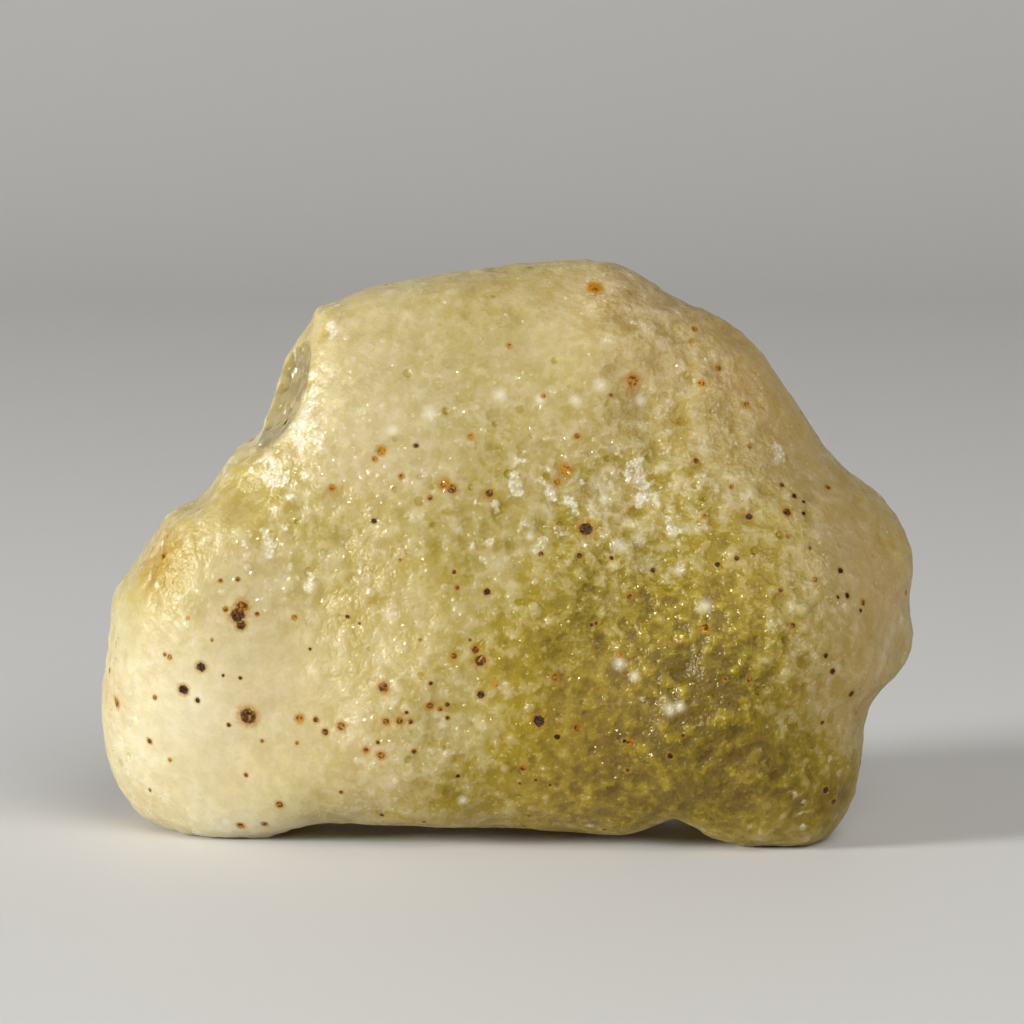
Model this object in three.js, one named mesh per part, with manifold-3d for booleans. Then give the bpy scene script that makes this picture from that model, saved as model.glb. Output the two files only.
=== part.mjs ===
// A raw lump of Libyan desert glass, standing on its lower edge, in millimetres.
//
// The lump is one natural piece. Seen from the front (from -Y) it has the uneven outline below:
// a high rounded top, a long wavy right shoulder, a rounded lobe at the right, two feet with a low
// arch between them, a wide rounded lobe at the lower left, and a notch and a fresh chip at the
// upper left. It is thickest low down and thins towards the top. Wind has worn shallow scoops
// all over it, and a few larger flakes have broken off. X runs to the right, Y away from the
// front and Z up.
import * as THREE from "three";
import { ImprovedNoise } from "three/addons/math/ImprovedNoise.js";
import { mergeVertices } from "three/addons/utils/BufferGeometryUtils.js";
import Module from "manifold-3d";

// Driving dimensions
const WIDTH = 46;
const FRONT_DEPTH = 9.6; // from the rim to the fullest point of the front face
const BACK_DEPTH = 10.8; // from the rim to the fullest point of the back face
const FULLEST_HEIGHT = 8; // the height at which the lump is thickest
const TOP_THICKNESS_SHARE = 0.46; // of the full depths, at the top edge
const FOOT_SKEW = 1.6; // how far the right foot stands forward and the left one back
const SCOOP_SPACING = 4.4; // between the middles of the small wind-worn scoops
const SCOOP_DEPTH = 0.34;

// How square the edge is across the thickness, as the power of its curve: 2 is a round edge
const SIDE_SQUARENESS = 2.7;
const FRONT_UPPER_LEFT_SQUARENESS = 4.5;
const UNDERSIDE_SQUARENESS = 3.7;

// How much a place's depth strays from the even shape
const THICKNESS_UNEVENNESS = 0.09; // of the full depth
const RIM_SWAY = 1.1;
const RIM_LEAN = 0.5; // how far back the top edge lies

// The middle that the outline is seen from, and the fineness of the surface
const CENTRE = { x: 0, z: 14.8 };
const STEPS_ACROSS_FACE = 32;
const STEPS_ACROSS_RIM = 18;
const CHIP_DETAIL = 12;

// The outline in front view, clockwise, as [x, z] pairs of millimetres
const CHIPPED_CORNER = [
  [-14.05, 22.35], [-13.6, 23.4], [-13.1, 25.1], [-12.6, 26.6], [-12.0, 27.85], [-11.15, 28.65],
  [-10.95, 29.35], [-10.7, 30.0], [-9.6, 30.0], [-8.6, 30.6],
];
const TOP_EDGE = [
  [-6.2, 31.2], [-3.0, 31.75], [0.7, 32.3], [3.4, 32.45], [5.2, 32.45], [6.7, 32.15], [8.3, 31.15],
];
const RIGHT_SHOULDER = [
  [9.2, 30.5], [10.2, 30.1], [12.2, 29.25], [13.9, 28.0], [15.6, 25.75], [17.1, 23.55], [18.5, 21.35],
];
const RIGHT_LOBES = [
  [19.3, 20.65], [21.4, 19.05], [22.8, 17.2], [23.1, 16.0], [23.0, 14.3], [22.8, 12.8],
  [23.1, 11.4], [22.65, 9.8], [21.3, 8.5], [20.4, 6.9], [20.2, 5.0], [19.75, 2.7], [18.9, 0.75],
];
const RIGHT_FOOT = [[17.8, -0.3], [16.0, -0.5], [13.8, -0.6], [12.3, -0.35], [11.3, 0.35]];
const ARCH = [
  [10.6, 1.2], [9.7, 1.75], [8.8, 1.05], [7.5, 0.35], [6.4, 0.2], [4.6, 0.2], [2.2, 0.35],
  [-0.5, 0.5], [-4.0, 0.45], [-8.0, 0.75], [-10.8, 0.8], [-12.6, 0.2],
];
const LEFT_FOOT = [[-14.2, -0.3], [-16.0, -0.6], [-17.7, -0.55], [-19.35, -0.15]];
const LEFT_LOBE = [
  [-21.05, 0.6], [-22.2, 2.1], [-22.95, 4.0], [-23.2, 6.3], [-23.15, 8.2], [-22.9, 9.8],
  [-22.65, 11.6], [-22.4, 13.6], [-21.5, 14.9], [-20.5, 16.3], [-19.7, 17.6], [-18.5, 18.6],
];
const LEFT_NOTCH = [[-17.25, 18.95], [-16.2, 20.55], [-15.5, 21.75], [-14.9, 22.15], [-14.4, 22.1]];

// Larger worn hollows in the faces: place, half-lengths, turn in degrees and depth
const FRONT_HOLLOWS = [
  { x: -6.4, z: 22.4, long: 4.4, across: 3.2, turn: 25, depth: 0.3 },
  { x: 8.4, z: 25.3, long: 3.2, across: 2.0, turn: -18, depth: 0.45 },
  { x: 5.6, z: 20.4, long: 3.2, across: 2.4, turn: -60, depth: 0.35 },
  { x: 1.2, z: 19.6, long: 3.4, across: 2.4, turn: 70, depth: 0.25 },
  { x: 9.6, z: 16.2, long: 3.6, across: 2.4, turn: -10, depth: 0.3 },
  { x: 14.8, z: 22.0, long: 3.8, across: 2.2, turn: -52, depth: 0.3 },
  { x: 14.6, z: 6.4, long: 5.0, across: 1.6, turn: 18, depth: 0.35 },
  { x: -13.5, z: 16.0, long: 4.0, across: 2.8, turn: 40, depth: 0.3 },
  { x: -17.6, z: 6.6, long: 3.4, across: 2.6, turn: 0, depth: 0.2 },
  { x: -3.0, z: 8.0, long: 5.8, across: 2.8, turn: -8, depth: 0.25 },
];
const BACK_HOLLOWS = [
  { x: -9.0, z: 20.5, long: 5.0, across: 3.4, turn: 30, depth: 0.9 },
  { x: 3.5, z: 23.0, long: 3.8, across: 2.8, turn: -35, depth: 0.8 },
  { x: 13.0, z: 16.0, long: 4.8, across: 3.2, turn: -50, depth: 0.8 },
  { x: -2.0, z: 12.0, long: 4.6, across: 3.4, turn: 10, depth: 0.7 },
  { x: 9.5, z: 7.0, long: 5.0, across: 2.4, turn: 15, depth: 0.6 },
];

// Broken-off flakes: the middle and half-sizes of the rounded hollow that each one leaves
const FRESH_CHIP = { at: [-14.8, -5.25, 28.9], half: [4.2, 7.5, 6.9] };
const WORN_FLAKES = [
  { name: "spall on the right lobe", at: [30.2, -14.0, 11.6], half: [11.5, 15.2, 12.5] },
  { name: "sliver off the left edge", at: [-29.2, -5.0, 12.6], half: [7.2, 6.2, 4.6] },
  { name: "flake high on the back", at: [10.0, 22.5, 28.5], half: [14.0, 17.4, 12.0] },
  { name: "flake low on the back", at: [-18.0, 24.5, 6.0], half: [13.5, 17.0, 10.5] },
];

// Slow unevenness of the faces: how high it swells and over what distance it repeats
const SWELLS = [
  { height: 0.4, span: 10 },
  { height: 0.2, span: 4.5 },
];

const noise = new ImprovedNoise();
const { clamp, degToRad, smoothstep } = THREE.MathUtils;

// The closed outline as a curve
function rimCurve() {
  const points = [
    ...CHIPPED_CORNER, ...TOP_EDGE, ...RIGHT_SHOULDER, ...RIGHT_LOBES, ...RIGHT_FOOT,
    ...ARCH, ...LEFT_FOOT, ...LEFT_LOBE, ...LEFT_NOTCH,
  ];
  const across = points.map(([x]) => x);
  const scale = WIDTH / (Math.max(...across) - Math.min(...across));
  const corners = points.map(([x, z]) => new THREE.Vector3(x * scale, 0, z));
  return new THREE.CatmullRomCurve3(corners, true, "centripetal");
}

// The same outline with its small bumps and notches averaged away
function softened(curve) {
  const reach = 9;
  const points = curve.getSpacedPoints(14 * reach).slice(0, -1);
  const averaged = points.map((_, middle) => {
    const sum = new THREE.Vector3();
    let weights = 0;
    for (let step = -reach; step <= reach; step++) {
      const weight = Math.cos((step / reach) * (Math.PI / 2)) ** 2;
      sum.addScaledVector(points[(middle + step + points.length) % points.length], weight);
      weights += weight;
    }
    return sum.divideScalar(weights);
  });
  return new THREE.CatmullRomCurve3(averaged, true);
}

// How square the edge is: squarer underneath, and at the upper left of the front face
function squareness(rimPoint, side) {
  const angle = Math.atan2(rimPoint.z - CENTRE.z, rimPoint.x - CENTRE.x);
  const underneath = smoothstep(-Math.sin(angle), 0.55, 0.95);
  const upperLeft = side < 0 ? smoothstep(Math.cos(angle - degToRad(136)), 0.55, 0.95) : 0;
  return (
    SIDE_SQUARENESS +
    (UNDERSIDE_SQUARENESS - SIDE_SQUARENESS) * underneath +
    (FRONT_UPPER_LEFT_SQUARENESS - SIDE_SQUARENESS) * upperLeft
  );
}

// The share of the full depth that the lump keeps at a place on its face
function thicknessShare(x, z) {
  const rise = smoothstep(z, FULLEST_HEIGHT, 36);
  const unevenness = THICKNESS_UNEVENNESS * noise.noise(x / 13 + 5.2, z / 11, 3.7);
  return 1 - (1 - TOP_THICKNESS_SHARE) * rise + unevenness;
}

// Where the rim runs in depth: the right foot stands forward and the left foot back
function rimDepth(x, z) {
  const low = 1 - smoothstep(z, 2, 24);
  const skew = -FOOT_SKEW * clamp(x / 16, -1, 1) * low;
  const sway = RIM_SWAY * noise.noise(x / 9, 1.3, z / 9);
  return skew + sway + RIM_LEAN * smoothstep(z, 18, 32);
}

function hollowDepth(hollows, x, z) {
  let depth = 0;
  for (const hollow of hollows) {
    const turn = degToRad(hollow.turn);
    const right = x - hollow.x;
    const up = z - hollow.z;
    const along = (right * Math.cos(turn) + up * Math.sin(turn)) / hollow.long;
    const across = (up * Math.cos(turn) - right * Math.sin(turn)) / hollow.across;
    const inside = Math.max(0, 1 - along * along - across * across);
    depth += hollow.depth * inside ** 1.4;
  }
  return depth;
}

// An even spread of numbers from 0 to 1, always the same for the same cell
function cellRandom(i, j, k, salt) {
  const wave = Math.sin(i * 127.1 + j * 311.7 + k * 74.7 + salt * 53.3) * 43758.5453;
  return wave - Math.floor(wave);
}

// Small scoops side by side with low ridges between them: 0 in a scoop's middle, 1 on a ridge
function scoopRelief(point) {
  const cell = point.clone().divideScalar(SCOOP_SPACING).floor();
  let nearest = Infinity;
  for (let i = cell.x - 1; i <= cell.x + 1; i++) {
    for (let j = cell.y - 1; j <= cell.y + 1; j++) {
      for (let k = cell.z - 1; k <= cell.z + 1; k++) {
        const middle = new THREE.Vector3(
          i + cellRandom(i, j, k, 1),
          j + cellRandom(i, j, k, 2),
          k + cellRandom(i, j, k, 3),
        ).multiplyScalar(SCOOP_SPACING);
        nearest = Math.min(nearest, middle.distanceTo(point));
      }
    }
  }
  return Math.min(1, (nearest / (0.8 * SCOOP_SPACING)) ** 2);
}

// Draws a point that lies inside a flake's hollow out to the hollow's surface
function behindFlake(point, { at, half }) {
  const middle = new THREE.Vector3(...at);
  const reach = point.clone().sub(middle).divide(new THREE.Vector3(...half)).length();
  if (reach >= 1) return point;
  return point.clone().sub(middle).divideScalar(reach).add(middle);
}

// The worn surface at one place: a rim point, how far out from the middle, and the side of it
function surfacePoint(rimPoint, softPoint, outward, side) {
  const power = squareness(softPoint, side);
  const deepness = Math.max(0, 1 - outward ** power) ** (1 / power);
  const detail = outward ** 9 * (1 - deepness ** 3); // the outline's bumps fade off the rim
  const { x, z } = new THREE.Vector3(CENTRE.x, 0, CENTRE.z)
    .lerp(softPoint, outward)
    .addScaledVector(rimPoint, detail)
    .addScaledVector(softPoint, -detail);
  const depth = (side < 0 ? FRONT_DEPTH : BACK_DEPTH) * thicknessShare(x, z);
  const hollows = side < 0 ? FRONT_HOLLOWS : BACK_HOLLOWS;
  const awayFromRim = smoothstep(deepness, 0, 0.35);
  let y = rimDepth(x, z) + side * depth * deepness;
  y -= side * hollowDepth(hollows, x, z) * awayFromRim;
  for (const { height, span } of SWELLS) {
    y += height * awayFromRim * noise.noise(x / span + 7 * side, y / span, z / span);
  }
  const point = new THREE.Vector3(x, y, z);
  const heart = new THREE.Vector3(CENTRE.x, 0, CENTRE.z).lerp(new THREE.Vector3(x, 0, z), 0.6);
  const inward = heart.sub(point).normalize();
  const scoopShare = 0.15 + 0.85 * awayFromRim;
  point.addScaledVector(inward, SCOOP_DEPTH * (1 - scoopRelief(point)) * scoopShare);
  return WORN_FLAKES.reduce(behindFlake, point);
}

// A box's grid of points, rounded to a ball and then drawn out to the worn surface
function wornLump() {
  const rim = rimCurve();
  const soft = softened(rim);
  const start = rim.getPointAt(0);
  const startAngle = Math.atan2(start.z - CENTRE.z, start.x - CENTRE.x);
  const faces = STEPS_ACROSS_FACE;
  const grid = new THREE.BoxGeometry(2, 2, 2, faces, STEPS_ACROSS_RIM, faces);
  const position = grid.getAttribute("position");
  const direction = new THREE.Vector3();
  for (let i = 0; i < position.count; i++) {
    direction.fromBufferAttribute(position, i).multiplyScalar(Math.PI / 4);
    direction.set(Math.tan(direction.x), Math.tan(direction.y), Math.tan(direction.z));
    direction.normalize();
    const turned = startAngle - Math.atan2(direction.z, direction.x);
    const share = THREE.MathUtils.euclideanModulo(turned / (2 * Math.PI), 1);
    const outward = Math.hypot(direction.x, direction.z);
    const side = direction.y < 0 ? -1 : 1;
    const point = surfacePoint(rim.getPointAt(share), soft.getPoint(share), outward, side);
    position.setXYZ(i, point.x, point.y, point.z);
  }
  return closed(grid);
}

// The fresh chip's hollow, with the faint ripples that glass breaks with
function chipTool({ at, half }) {
  const ball = new THREE.IcosahedronGeometry(1, CHIP_DETAIL);
  const position = ball.getAttribute("position");
  const direction = new THREE.Vector3();
  const ripple = 0.008;
  for (let i = 0; i < position.count; i++) {
    direction.fromBufferAttribute(position, i).normalize();
    const swell = 1 + ripple * noise.noise(direction.x * 6, direction.y * 6, direction.z * 6);
    direction.multiplyScalar(swell).multiply(new THREE.Vector3(...half));
    position.setXYZ(i, direction.x + at[0], direction.y + at[1], direction.z + at[2]);
  }
  return closed(ball);
}

// Everything below the surface that the lump stands on: its two feet are worn flat there
function groundBlock() {
  const size = 80;
  return closed(new THREE.BoxGeometry(size, size, size).translate(0, 0, -size / 2));
}

function closed(geometry) {
  geometry.deleteAttribute("normal");
  geometry.deleteAttribute("uv");
  return mergeVertices(geometry, 1e-5);
}

const wasm = await Module();
wasm.setup();

function toSolid(geometry) {
  return new wasm.Manifold(
    new wasm.Mesh({
      numProp: 3,
      vertProperties: new Float32Array(geometry.getAttribute("position").array),
      triVerts: new Uint32Array(geometry.index.array),
    }),
  );
}

function toGeometry(solid) {
  const mesh = solid.getMesh();
  return new THREE.BufferGeometry()
    .setAttribute("position", new THREE.BufferAttribute(new Float32Array(mesh.vertProperties), 3))
    .setIndex(new THREE.BufferAttribute(new Uint32Array(mesh.triVerts), 1));
}

const glass = toSolid(wornLump())
  .subtract(toSolid(chipTool(FRESH_CHIP)))
  .subtract(toSolid(groundBlock()));

// The origin lies under the middle of the lump, on the surface that it stands on
const glassGeometry = toGeometry(glass);
glassGeometry.computeBoundingBox();
const middle = glassGeometry.boundingBox.getCenter(new THREE.Vector3());
glassGeometry.translate(-middle.x, -middle.y, 0);

const glassMesh = new THREE.Mesh(
  glassGeometry,
  new THREE.MeshStandardMaterial({ color: 0xb5a468, roughness: 0.35, metalness: 0 }),
);
glassMesh.name = "desert_glass";

const lump = new THREE.Group();
lump.add(glassMesh);

export default lump;
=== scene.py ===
"""A raw lump of Libyan desert glass: frosted, wind-worn and pitted, pale yellow to olive.

The solid from the frame gives the form. It is skinned with a fine mesh, worn smooth, cut again
along its fresh chip, and then covered with small lumps and pits. Specks of iron stain and white
balls lie where the photograph shows them on the front, and are scattered in the same way over
the other sides.
"""
import math

import bpy
import numpy as np
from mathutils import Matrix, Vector, kdtree, noise
from mathutils.bvhtree import BVHTree


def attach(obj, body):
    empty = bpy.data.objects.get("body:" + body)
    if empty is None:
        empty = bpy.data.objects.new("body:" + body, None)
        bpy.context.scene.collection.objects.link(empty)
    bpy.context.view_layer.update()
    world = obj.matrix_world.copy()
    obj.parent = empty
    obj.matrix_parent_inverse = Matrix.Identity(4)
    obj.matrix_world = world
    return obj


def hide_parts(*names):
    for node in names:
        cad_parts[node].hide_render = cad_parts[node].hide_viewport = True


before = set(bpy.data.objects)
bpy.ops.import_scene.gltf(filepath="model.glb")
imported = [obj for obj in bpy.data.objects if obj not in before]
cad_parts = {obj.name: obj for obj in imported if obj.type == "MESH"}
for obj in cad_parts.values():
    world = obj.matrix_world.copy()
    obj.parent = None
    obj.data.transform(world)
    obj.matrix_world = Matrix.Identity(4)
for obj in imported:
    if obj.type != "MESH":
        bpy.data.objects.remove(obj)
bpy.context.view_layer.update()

MM = 0.001
NODE = "desert_glass"

# The photograph's view: the camera looks at the lump's front from a little above
PHOTO_PIXELS = 1024
VIEW_WIDTH = 57.6 * MM
VIEW_DISTANCE = 300 * MM
VIEW_ELEVATION = math.radians(7.2)
VIEW_CENTRE = Vector((0.36, -0.75, 18.25)) * MM
SENSOR_WIDTH = 36.0
PIXEL = VIEW_WIDTH / PHOTO_PIXELS

# The fine skin: its voxels are as small as the limit on a piece's faces allows
SKIN_VOXEL = 0.225 * MM
SEED = 41

# The hollow of the fresh chip at the upper left: its middle and half-sizes, where its colour
# fades as shares of the half-sizes, and how much less milky its glass is
FRESH_CHIP_MIDDLE = np.array((-14.74, -6.0, 28.9)) * MM
FRESH_CHIP_HALF = np.array((4.2, 7.5, 6.9)) * MM
FRESH_CHIP_RIM = (1.005, 1.02)
FRESH_CHIP_CLARITY = 0.15

# Wear passes over the whole skin, and then over the faces that look squarely forward or back. In
# the chip it is weak, and around the chip it grows between two shares of the half-sizes.
WEAR_ON_EDGES = 22
WEAR_ON_FACES = 70
WEAR_IN_CHIP = 0.12
WEAR_AROUND_CHIP = (1.05, 1.5)
SQUARE_FACES = (0.6, 0.95)

# Waves of the worn surface: how high, over what distance they repeat, and a place in the noise
WAVES = [
    {"amount": 0.13 * MM, "span": 3.4 * MM, "shift": 11.0},
    {"amount": 0.06 * MM, "span": 1.6 * MM, "shift": 23.0},
    {"amount": 0.035 * MM, "span": 0.8 * MM, "shift": 37.0},
]

# The strength of all relief where the glass isn't coarse, and the least strength that has dots
RELIEF_BASE = 0.35
LEAST_RELIEF_WITH_DOTS = 0.2

# Dots are round pits pressed in and small lumps raised, all over the surface: how many, their
# radii, and their height as a share of the radius. A dot has some share of that height.
PITS = {"count": 2600, "radius": (0.30 * MM, 0.80 * MM), "height": -0.20}
LUMPS = {"count": 3600, "radius": (0.26 * MM, 0.52 * MM), "height": 0.20}
DOT_HEIGHTS = (0.4, 1.2)

# How much paler the glass is by the height of a lump, and how much deeper olive by that of a
# pit, as painted shade in it
LUMP_PALENESS = 2.4 / MM
PIT_PAINTED_SHADE = 0.6 / MM

# Random sizes are drawn with a power, so that small dots, scars and spots are the most common
DOT_POWER = 2.2
SCAR_POWER = 3
SPOT_POWER = 3

# Scars where small flakes came off the front, by the photograph's pixels: x, y, radius in
# pixels and depth
SCARS = [
    (246, 497, 33, 0.36 * MM), (227, 487, 20, 0.22 * MM),
    (331, 330, 13, 0.20 * MM), (346, 326, 6, 0.14 * MM),
    (300, 346, 8, 0.16 * MM), (291, 362, 11, 0.26 * MM), (284, 384, 12, 0.24 * MM),
    (277, 404, 10, 0.22 * MM), (270, 424, 9, 0.18 * MM), (299, 374, 7, 0.14 * MM),
    (294, 392, 8, 0.16 * MM), (284, 416, 8, 0.14 * MM),
    (903, 652, 22, 0.35 * MM), (893, 660, 14, 0.2 * MM), (884, 676, 10, 0.15 * MM),
    (803, 820, 12, 0.30 * MM), (666, 566, 26, 0.22 * MM), (660, 363, 20, 0.20 * MM),
    (272, 550, 7, 0.12 * MM), (527, 478, 14, 0.14 * MM), (553, 500, 9, 0.12 * MM),
    (157, 552, 13, 0.20 * MM), (168, 532, 8, 0.14 * MM), (150, 580, 9, 0.12 * MM),
    (113, 703, 6, 0.14 * MM), (619, 287, 7, 0.12 * MM), (633, 284, 6, 0.12 * MM),
]

# Scars on the other sides: how many, their radii and their depths as shares of the radius. They
# lie above the lowest height, where the way out of the surface has more than this part along Y.
SCARS_ELSEWHERE = {"count": 70, "radius": (0.35 * MM, 1.85 * MM), "depth": (0.12, 0.22)}
LOWEST_SCAR = 2 * MM
SCARS_BEHIND = -0.1

# A scar's bowl is cut as far from its middle as this many of its radii
SCAR_REACH = 1.3

# Soft zones on the front, placed by the photograph's pixels: x, y, radius and how much. Clouds
# of noise, given as waves are, are added to them.
# Coarse zones are rough and grainy, and the negative ones are smooth.
COARSE_BASE = 0.45
COARSE_RANGE = (0.05, 1.1)
COARSE_CLOUDS = {"amount": 0.25, "span": 7 * MM, "shift": 5.0}
COARSE_ZONES = [
    (640, 640, 120, 0.30), (760, 705, 95, 0.45), (560, 510, 85, 0.3), (720, 560, 90, 0.3),
    (640, 470, 70, 0.3), (500, 600, 80, -0.05), (620, 780, 90, 0.3), (800, 760, 60, 0.3),
    (190, 700, 120, -0.3), (400, 350, 110, -0.25), (520, 310, 80, -0.15), (790, 400, 60, -0.2),
    (860, 560, 70, -0.15), (290, 690, 90, -0.25), (160, 545, 40, 0.4), (620, 300, 50, 0.3),
    (130, 620, 60, -0.3), (250, 800, 80, -0.2), (250, 490, 30, -0.4), (700, 390, 60, 0.3),
    (290, 470, 50, 0.2), (320, 400, 50, 0.15),
]

# Milky zones are pale, and the negative ones are clear and olive. They also paint light and
# shade: the left paler where the light comes in, the lower right deeper olive where little of it
# reaches, floor light on the shaded bottom left, and shade on slopes that face the key light.
# The glass is mottled too, more where it is coarse.
MILK_BASE = 0.36
MILK_CLOUDS = {"amount": 0.12, "span": 6 * MM, "shift": 61.0}
MOTTLE = {"amount": 1.0, "span": 1.3 * MM, "shift": 71.0}
MOTTLE_SHARES = (0.08, 0.23)
MILK_AND_PAINTED_LIGHT_ZONES = [
    (150, 750, 130, 0.52), (260, 620, 90, 0.15), (360, 400, 110, 0.20), (420, 300, 90, 0.05),
    (300, 430, 60, 0.15), (560, 300, 80, 0.10), (230, 500, 70, 0.2), (620, 290, 50, 0.1),
    (480, 530, 90, -0.06), (600, 540, 100, -0.08), (620, 680, 120, -0.42), (730, 690, 90, -0.42),
    (330, 560, 80, -0.10), (740, 550, 70, -0.16), (850, 560, 60, 0.15), (560, 800, 90, -0.42),
    (740, 790, 90, -0.58), (430, 730, 80, 0.12), (250, 780, 80, -0.1), (350, 620, 40, -0.15),
    (250, 490, 50, -0.50), (840, 800, 50, -0.45), (430, 815, 60, -0.15), (520, 640, 50, -0.1),
    (250, 835, 60, 0.4), (160, 570, 45, -0.5), (790, 700, 50, 0.2), (210, 700, 50, 0.12),
    (345, 335, 40, 0.15), (470, 320, 60, -0.15), (630, 770, 70, -0.15), (700, 620, 60, -0.15),
    (903, 620, 7, 0.5), (894, 630, 7, 0.5), (887, 643, 7, 0.5), (883, 657, 7, 0.5),
    (880, 670, 7, 0.4),
]

# Warm zones are tinged beige by weathering, and along the top and right edges the beige is also
# painted glow, the light shining through the thin glass there. The small negative ones are a pale
# ledge.
WARM_BASE = 0.08
WARM_CLOUDS = {"amount": 0.15, "span": 5 * MM, "shift": 83.0}
WARM_AND_EDGE_GLOW_ZONES = [
    (700, 320, 80, 0.5), (780, 400, 70, 0.5), (600, 290, 50, 0.4), (840, 490, 70, 0.4),
    (880, 590, 70, 0.55), (860, 690, 60, 0.4), (160, 550, 40, 0.5), (330, 330, 40, 0.15),
    (640, 375, 35, 0.3), (110, 690, 40, 0.35), (480, 290, 60, 0.2), (620, 790, 60, 0.15),
    (903, 620, 7, -0.4), (894, 630, 7, -0.4), (887, 643, 7, -0.4), (883, 657, 7, -0.4),
    (880, 670, 7, -0.3),
]

# Frosted patches are white with crushed grains that glint. Their white is partly painted
# glints: small highlights where the surface catches the light are painted in as white.
FROST_AND_GLINT_BASE = 0.0
FROST_AND_GLINT_ZONES = [
    (514, 474, 6, 0.8), (513, 484, 6, 0.9), (517, 492, 6, 0.9), (520, 460, 5, 0.6),
    (524, 453, 5, 0.5), (546, 470, 3, 0.7), (542, 481, 5, 0.8), (548, 488, 4, 0.8),
    (551, 497, 5, 0.9), (496, 502, 4, 0.8), (497, 512, 4, 0.8), (476, 504, 4, 0.7),
    (570, 500, 7, 0.6), (575, 512, 6, 0.7), (581, 482, 4, 0.7), (489, 540, 5, 0.7),
    (542, 540, 4, 0.7), (536, 549, 4, 0.6), (547, 530, 8, 0.5), (560, 533, 5, 0.7),
    (598, 544, 3, 0.9), (561, 557, 4, 0.5), (472, 544, 4, 0.7), (520, 528, 8, 0.4),
    (633, 466, 8, 0.9), (638, 475, 7, 0.9), (628, 472, 5, 0.7), (645, 489, 7, 1.0),
    (641, 499, 4, 0.9), (637, 506, 4, 0.8), (636, 515, 3, 0.7), (654, 500, 4, 0.7),
    (619, 453, 4, 0.7), (653, 474, 4, 0.5), (657, 483, 3, 0.6), (645, 456, 3, 0.5),
    (668, 519, 5, 0.9), (671, 527, 5, 0.8), (678, 531, 5, 0.6), (680, 541, 3, 0.7),
    (698, 506, 3, 0.6), (781, 457, 7, 0.9), (774, 448, 6, 0.7), (786, 468, 5, 0.6),
    (730, 483, 5, 0.4), (740, 495, 6, 0.4), (665, 452, 4, 0.4), (626, 563, 5, 0.4),
    (313, 378, 6, 0.6), (312, 392, 7, 0.8), (309, 406, 8, 0.9), (303, 418, 8, 0.9),
    (297, 428, 9, 0.9), (308, 432, 9, 0.8), (320, 437, 6, 0.9), (300, 442, 8, 0.7),
    (318, 450, 4, 0.7), (337, 439, 4, 0.5), (336, 403, 4, 0.4), (322, 400, 6, 0.5),
    (298, 436, 6, 0.8), (276, 468, 9, 0.8), (268, 478, 8, 0.8), (282, 480, 9, 0.8),
    (262, 462, 6, 0.5), (290, 492, 7, 0.6), (302, 478, 4, 0.7), (254, 463, 3, 0.8),
    (252, 470, 3, 0.7), (252, 485, 3, 0.6), (262, 530, 5, 0.8), (271, 546, 5, 1.0),
    (270, 554, 4, 1.0), (264, 538, 4, 0.6), (286, 528, 4, 0.7), (241, 545, 4, 0.6),
    (233, 540, 3, 0.6), (275, 510, 4, 0.5), (268, 517, 4, 0.5), (291, 567, 3, 0.6),
    (297, 580, 4, 0.5), (310, 585, 8, 0.5), (310, 577, 4, 0.6), (362, 566, 4, 0.8),
    (359, 574, 4, 0.5), (160, 543, 5, 0.9), (163, 556, 4, 0.8), (154, 536, 4, 0.7),
    (150, 572, 5, 0.6), (158, 584, 5, 0.5), (145, 590, 4, 0.4), (135, 720, 5, 0.9),
    (130, 727, 4, 0.7), (328, 326, 6, 0.7), (331, 334, 5, 0.6), (338, 306, 3, 0.8),
    (322, 312, 3, 0.5), (293, 355, 4, 0.9), (288, 368, 4, 0.8), (298, 340, 3, 0.8),
    (284, 400, 3, 0.7), (303, 350, 3, 0.5), (246, 450, 3, 0.8), (804, 803, 4, 0.7),
    (801, 817, 4, 1.0), (803, 827, 3, 0.8), (805, 836, 3, 0.6), (793, 795, 5, 0.4),
    (829, 759, 4, 0.5), (765, 748, 6, 0.35), (700, 730, 7, 0.3), (645, 700, 6, 0.3),
    (589, 825, 5, 0.6), (462, 800, 4, 0.6), (620, 660, 6, 0.3), (452, 610, 4, 0.4),
]

# Specks of iron stain on the front by the photograph's pixels: x, y, radius in pixels, and
# darkness from 0, amber, to 1, nearly black
LEFT_SPECKS = [
    (238, 615, 7.5, 0.6), (242, 607, 6.5, 0.35), (241, 625, 5, 0.6), (248, 716, 8.5, 0.55),
    (201, 667, 5, 0.8), (183.5, 689.6, 5, 0.85), (197.6, 700.5, 2.7, 1.0), (116.6, 702.5, 5, 0.3),
    (109.6, 670.5, 2.6, 0.4), (154.8, 697.6, 2.4, 0.5), (169.5, 657, 2.6, 0.4),
    (220.5, 580.6, 2, 0.4), (237.8, 579.3, 2.3, 0.5), (225.6, 609.3, 2.6, 0.4),
    (257, 614, 2.2, 0.4), (294.5, 617.6, 2.7, 0.3), (240.3, 678, 1.9, 0.9), (228.7, 725, 2.2, 0.8),
    (149.6, 741.2, 3, 0.5), (299.6, 718.4, 4.2, 0.25), (316, 719.7, 3, 0.6), (325.2, 732, 3.5, 0.6),
    (341, 726.3, 4.7, 0.3), (279.6, 804.6, 4, 0.5), (348, 617, 1.9, 1.0), (373.8, 521, 3, 0.8),
    (163, 556, 4, 0.4), (150, 790, 2, 0.5), (170, 760, 2, 0.35), (246, 775, 2.2, 0.6),
    (165, 654.6, 2, 0.4), (223, 675.6, 1.6, 1.0), (240.7, 825.5, 4, 0.4), (264.8, 824, 3.5, 0.35),
    (346.8, 616.5, 1.9, 1.0), (359.6, 623.5, 1.6, 0.6), (310, 649, 1.7, 0.7), (341.2, 792.2, 2.2, 0.5),
    (297, 743, 1.8, 0.4), (262, 741, 1.8, 0.4), (212, 640, 1.6, 0.4), (188, 618, 1.6, 0.4),
]
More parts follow.
